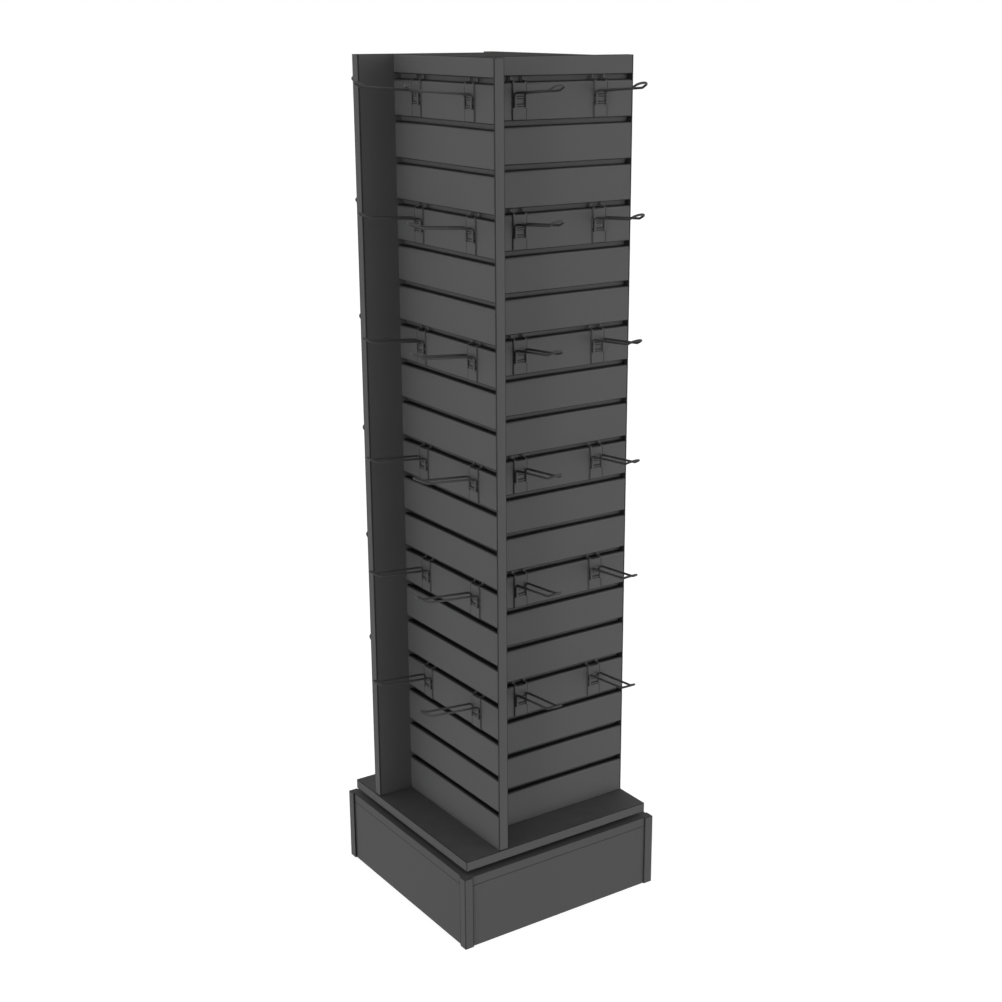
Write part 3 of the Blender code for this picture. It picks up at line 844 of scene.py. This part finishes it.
hookCount = 0
for node in sorted(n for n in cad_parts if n.startswith("hook_")):
    face = next(f for f in faceTurns if f"_{f}_" in node)
    low, high = faceBox(node, faceTurns[face])
    height = low.z + hook["plateDrop"]
    spots = {low.x + hook["plateWidth"] / 2, high.x - hook["plateWidth"] / 2}
    if high.x - low.x < 2 * hook["plateWidth"]:
        spots = {(low.x + high.x) / 2}
    shares = []
    for along in sorted(spots):
        mesh = hookMesh.copy()
        mesh.transform(hookPlace(face, along, height))
        shares.append(mesh)
    mesh = smoothed(joinedMesh(node, shares, hookFinishes.values()))
    addPiece(node + "_piece", mesh, node, "hook_steel", node)
    hookCount += len(spots)
print("hooks:", hookCount, "of", len(hookMesh.polygons), "faces each")


# Turntable: pressed square plates with screw holes, a cage of balls, and the bolt with its lock nut

bearing = {
    "cornerRadius": 0.012, "boreRadius": 0.0053, "holeRadius": 0.0026, "holeInset": 0.012, "edge": 0.0003,
    "ballCount": 24, "ballDiameter": 0.0034, "ballCircle": 0.110, "cageWidth": 0.010,
    "cageThickness": 0.0014, "cornerSteps": 8, "holeSteps": 24, "cageSteps": 48,
}
bolt = {
    "headRadius": 0.012, "headHeight": 0.006, "headEdge": 0.0012, "shankRadius": 0.0050, "tipEdge": 0.0004,
    "threadDepth": 0.0005, "threadPitch": 0.0015, "threadLength": 0.0180, "threadCrest": (0.4, 0.6),
    "keySides": 6, "keyAcross": 0.008, "keyDepth": 0.0035, "steps": 48, "sharpAngle": math.radians(28.0),
}
nut = {"ease": 0.0006, "segments": 2}


def addLoop(curve, points):
    spline = curve.splines.new("POLY")
    spline.points.add(len(points) - 1)
    for spot, (x, y) in zip(spline.points, points):
        spot.co = (x, y, 0.0, 1.0)
    spline.use_cyclic_u = True


def bearingPlateMesh(node):
    low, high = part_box(node)
    half = high.x
    curve = bpy.data.curves.new("bearingPlate", "CURVE")
    curve.dimensions = "2D"
    curve.fill_mode = "BOTH"
    curve.extrude = (high.z - low.z) / 2 - bearing["edge"]
    curve.bevel_depth = bearing["edge"]
    curve.bevel_resolution = 1
    curve.offset = -bearing["edge"]
    inner = half - bearing["cornerRadius"]
    outline = []
    for quarter, (sx, sy) in enumerate(((1, 1), (-1, 1), (-1, -1), (1, -1))):
        start = quarter * math.pi / 2
        outline += arcPoints((sx * inner, sy * inner), bearing["cornerRadius"], start, start + math.pi / 2,
                             bearing["cornerSteps"])
    addLoop(curve, outline)
    apart = half - bearing["holeInset"]
    holes = [(0, 0, bearing["boreRadius"])]
    holes += [(sx * apart, sy * apart, bearing["holeRadius"]) for sx in (-1, 1) for sy in (-1, 1)]
    for x, y, radius in holes:
        addLoop(curve, arcPoints((x, y), radius, 0, -2 * math.pi, bearing["holeSteps"])[:-1])
    mesh = plainMesh(linked("bearingPlate", curve))
    mesh.transform(Matrix.Translation((0, 0, (low.z + high.z) / 2)))
    return smoothed(dressed(welded(mesh), zincSteel))


def buildBallTree():
    tree, given, result = newGroup(
        "ballCageTree", "GeometryNodeTree",
        [("Geometry", "Geometry"), ("Ball Count", "Int"), ("Ball Diameter", "Float"),
         ("Ball Circle", "Float"), ("Steel Finish", "Material")],
        [("Geometry", "Geometry")],
    )
    circle = addNode(tree, "GeometryNodeMeshCircle", {
        "Vertices": given["Ball Count"], "Radius": calc(tree, "MULTIPLY", given["Ball Circle"], 0.5)})
    ball = addNode(tree, "GeometryNodeMeshIcoSphere", {
        "Radius": calc(tree, "MULTIPLY", given["Ball Diameter"], 0.5), "Subdivisions": 3})
    balls = addNode(tree, "GeometryNodeInstanceOnPoints", {
        "Points": circle.outputs["Mesh"], "Instance": ball.outputs["Mesh"]})
    both = joinedGeometry(tree, given["Geometry"], balls.outputs["Instances"])
    return endTree(tree, both, given["Steel Finish"], result)


def ballRingMesh():
    low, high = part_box("turntable_ball_ring")
    outer = (bearing["ballCircle"] + bearing["cageWidth"]) / 2
    inner = (bearing["ballCircle"] - bearing["cageWidth"]) / 2
    thick, edge = bearing["cageThickness"] / 2, bearing["edge"]
    profile = [(inner + edge, thick), (outer - edge, thick), (outer, thick - edge), (outer, edge - thick),
               (outer - edge, -thick), (inner + edge, -thick), (inner, edge - thick), (inner, thick - edge)]
    cage = turnedMesh("ballCage", profile + profile[:1], bearing["cageSteps"])
    mesh = evaluateTree("ballCage", buildBallTree(), {
        "Ball Count": bearing["ballCount"], "Ball Diameter": bearing["ballDiameter"],
        "Ball Circle": bearing["ballCircle"], "Steel Finish": zincSteel}, cage)
    mesh.transform(Matrix.Translation((0, 0, (low.z + high.z) / 2)))
    return smoothed(welded(mesh))


def boltMesh():
    low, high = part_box("pivot_bolt")
    headTop = low.z + bolt["headHeight"]
    shank, root = bolt["shankRadius"], bolt["shankRadius"] - bolt["threadDepth"]
    pitch, head, edge = bolt["threadPitch"], bolt["headRadius"], bolt["headEdge"]
    profile = [(0, high.z), (root - bolt["tipEdge"], high.z)]
    for turn in range(int(bolt["threadLength"] / pitch)):
        height = high.z - bolt["tipEdge"] - turn * pitch
        profile += [(root, height), *((shank, height - pitch * share) for share in bolt["threadCrest"])]
    profile += [(shank, profile[-1][1] - pitch), (shank, headTop)]
    profile += [(head - edge / 2, headTop), (head, headTop - edge / 2)]
    profile += [(head, low.z + edge), (head - edge, low.z), (0, low.z)]
    piece = linked("pivotBolt", dressed(turnedMesh("pivotBolt", profile, bolt["steps"]), zincSteel))
    key = bmesh.new()
    corner = bolt["keyAcross"] / math.sqrt(3)
    bmesh.ops.create_cone(key, cap_ends=True, segments=bolt["keySides"], radius1=corner, radius2=corner,
                          depth=2 * bolt["keyDepth"], matrix=Matrix.Translation((0, 0, low.z)))
    keyPiece = linked("hexKey", written(key, bpy.data.meshes.new("hexKey")))
    cut = piece.modifiers.new("key", "BOOLEAN")
    cut.operation = "DIFFERENCE"
    cut.object = keyPiece
    made = plainMesh(piece)
    bpy.data.objects.remove(keyPiece, do_unlink=True)
    return smoothed(made, bolt["sharpAngle"])


def nutMesh():
    piece = linked("pivotNut", dressed(nodeCopy("pivot_nut"), zincSteel))
    addEase(piece, nut["ease"], nut["segments"], 0)
    return plainMesh(piece)


for node, body in (("turntable_lower_plate", "base"), ("turntable_upper_plate", "tower")):
    addPiece(node + "_piece", bearingPlateMesh(node), body, "bearing_steel", node)
addPiece("turntable_ball_ring_piece", ballRingMesh(), "ball_ring", "bearing_steel", "turntable_ball_ring")
addPiece("pivot_bolt_piece", boltMesh(), "base", "bearing_steel", "pivot_bolt")
addPiece("pivot_nut_piece", nutMesh(), "base", "bearing_steel", "pivot_nut")
print("turntable:", bearing["ballCount"], "balls")


# Floor, light and camera

studio = {
    "floorSize": 60.0, "floorDrop": 0.0004, "floorShow": 0.30, "floorGlow": 0.90,
    "bandStrength": 3.2, "bandSpread": 0.21, "skyStrength": 0.20, "zenithStrength": 0.32,
    "zenithRise": (0.3, 0.8), "evenLevel": 0.912,
    # Strength, compass angle from the front towards the left, and sharpness: a gap where the camera stands
    "lobes": ((-5.65, 23.2, 4.5), (5.42, 64.6, 64.7), (4.81, 346.2, 23.2)),
}
view = {
    "place": (-1.692072, -2.566456, 1.734544), "yaw": 35.141, "pitch": -17.4119, "roll": 0.119,
    "lens": 58.0609, "sensor": 36.0, "shift": (-0.04234, 0.02166),
}


def seenDirectly(tree):
    # 1 for what the camera sees straight, in gloss or through something clear
    path = addNode(tree, "ShaderNodeLightPath").outputs
    either = calc(tree, "MAXIMUM", path["Is Camera Ray"], path["Is Glossy Ray"])
    return calc(tree, "MAXIMUM", either, path["Is Transmission Ray"])


def makeFloor():
    half = studio["floorSize"] / 2
    corners = [(x * half, y * half, -studio["floorDrop"]) for x, y in ((-1, -1), (1, -1), (1, 1), (-1, 1))]
    mesh = drawnMesh("studioFloor", corners, [], [(0, 1, 2, 3)])
    floor = linked("studioFloor", mesh)
    material = bpy.data.materials.new("paleFloor")
    material.use_nodes = True
    tree = material.node_tree
    tree.nodes.clear()
    shown = addNode(tree, "ShaderNodeBsdfDiffuse", {"Color": grey(studio["floorShow"])})
    glow = addNode(tree, "ShaderNodeEmission", {"Color": grey(1.0), "Strength": studio["floorGlow"]})
    pale = addNode(tree, "ShaderNodeAddShader", {0: shown.outputs[0], 1: glow.outputs[0]})
    clear = addNode(tree, "ShaderNodeBsdfTransparent")
    top = addNode(tree, "ShaderNodeMixShader", {
        0: seenDirectly(tree), 1: clear.outputs[0], 2: pale.outputs[0]})
    backfacing = addNode(tree, "ShaderNodeNewGeometry").outputs["Backfacing"]
    both = addNode(tree, "ShaderNodeMixShader", {0: backfacing, 1: top.outputs[0], 2: clear.outputs[0]})
    output = tree.nodes.new("ShaderNodeOutputMaterial")
    tree.links.new(both.outputs[0], output.inputs["Surface"])
    mesh.materials.append(material)


def makeWorld():
    # Soft light from all round, strongest near the horizon, with a gap and a lobe on each side of it
    world = bpy.data.worlds.new("softStudio")
    bpy.context.scene.world = world
    world.use_nodes = True
    tree = world.node_tree
    tree.nodes.clear()
    direction = split(tree, addNode(tree, "ShaderNodeTexCoord").outputs["Generated"])
    flat = addNode(tree, "ShaderNodeCombineXYZ", {"X": direction["X"], "Y": direction["Y"]})
    compass = addNode(tree, "ShaderNodeVectorMath", {0: flat.outputs["Vector"]}, operation="NORMALIZE")
    around = studio["evenLevel"]
    for strength, angle, sharpness in studio["lobes"]:
        aim = (-math.sin(math.radians(angle)), -math.cos(math.radians(angle)), 0.0)
        near = addNode(tree, "ShaderNodeVectorMath", {
            0: compass.outputs["Vector"], 1: aim}, operation="DOT_PRODUCT")
        fade = calc(tree, "MULTIPLY", calc(tree, "SUBTRACT", near.outputs["Value"], 1.0), sharpness)
        around = calc(tree, "ADD", around, calc(tree, "MULTIPLY", calc(tree, "EXPONENT", fade), strength))
    around = calc(tree, "MAXIMUM", around, 0.0)
    rise = calc(tree, "DIVIDE", direction["Z"], studio["bandSpread"])
    band = calc(tree, "EXPONENT", calc(tree, "MULTIPLY", calc(tree, "MULTIPLY", rise, rise), -1.0))
    band = calc(tree, "MULTIPLY", calc(tree, "MULTIPLY", band, around), studio["bandStrength"])
    low, high = studio["zenithRise"]
    zenith = addNode(tree, "ShaderNodeMapRange", {
        "Value": direction["Z"], "From Min": low, "From Max": high, "To Max": studio["zenithStrength"]})
    above = calc(tree, "ADD", zenith.outputs["Result"], studio["skyStrength"])
    light = addNode(tree, "ShaderNodeBackground", {
        "Color": grey(1.0), "Strength": calc(tree, "ADD", band, above)})
    white = addNode(tree, "ShaderNodeBackground", {"Color": grey(1.0), "Strength": 1.0})
    mix = addNode(tree, "ShaderNodeMixShader", {
        0: seenDirectly(tree), 1: light.outputs[0], 2: white.outputs[0]})
    output = tree.nodes.new("ShaderNodeOutputWorld")
    tree.links.new(mix.outputs[0], output.inputs["Surface"])


def makeCamera():
    yaw, pitch, roll = (math.radians(view[angle]) for angle in ("yaw", "pitch", "roll"))
    ahead = Vector((math.sin(yaw) * math.cos(pitch), math.cos(yaw) * math.cos(pitch), math.sin(pitch)))
    level = Vector((math.cos(yaw), -math.sin(yaw), 0.0))
    above = level.cross(ahead)
    across = level * math.cos(roll) + above * math.sin(roll)
    upward = above * math.cos(roll) - level * math.sin(roll)
    data = bpy.data.cameras.new("photoCamera")
    data.lens = view["lens"]
    data.sensor_width = view["sensor"]
    data.shift_x, data.shift_y = view["shift"]
    camera = linked("photoCamera", data)
    turned = Matrix((across, upward, -ahead)).transposed().to_4x4()
    camera.matrix_world = Matrix.Translation(view["place"]) @ turned
    bpy.context.scene.camera = camera


makeFloor()
makeWorld()
makeCamera()
bpy.context.scene.view_settings.view_transform = "Standard"
print("studio set")
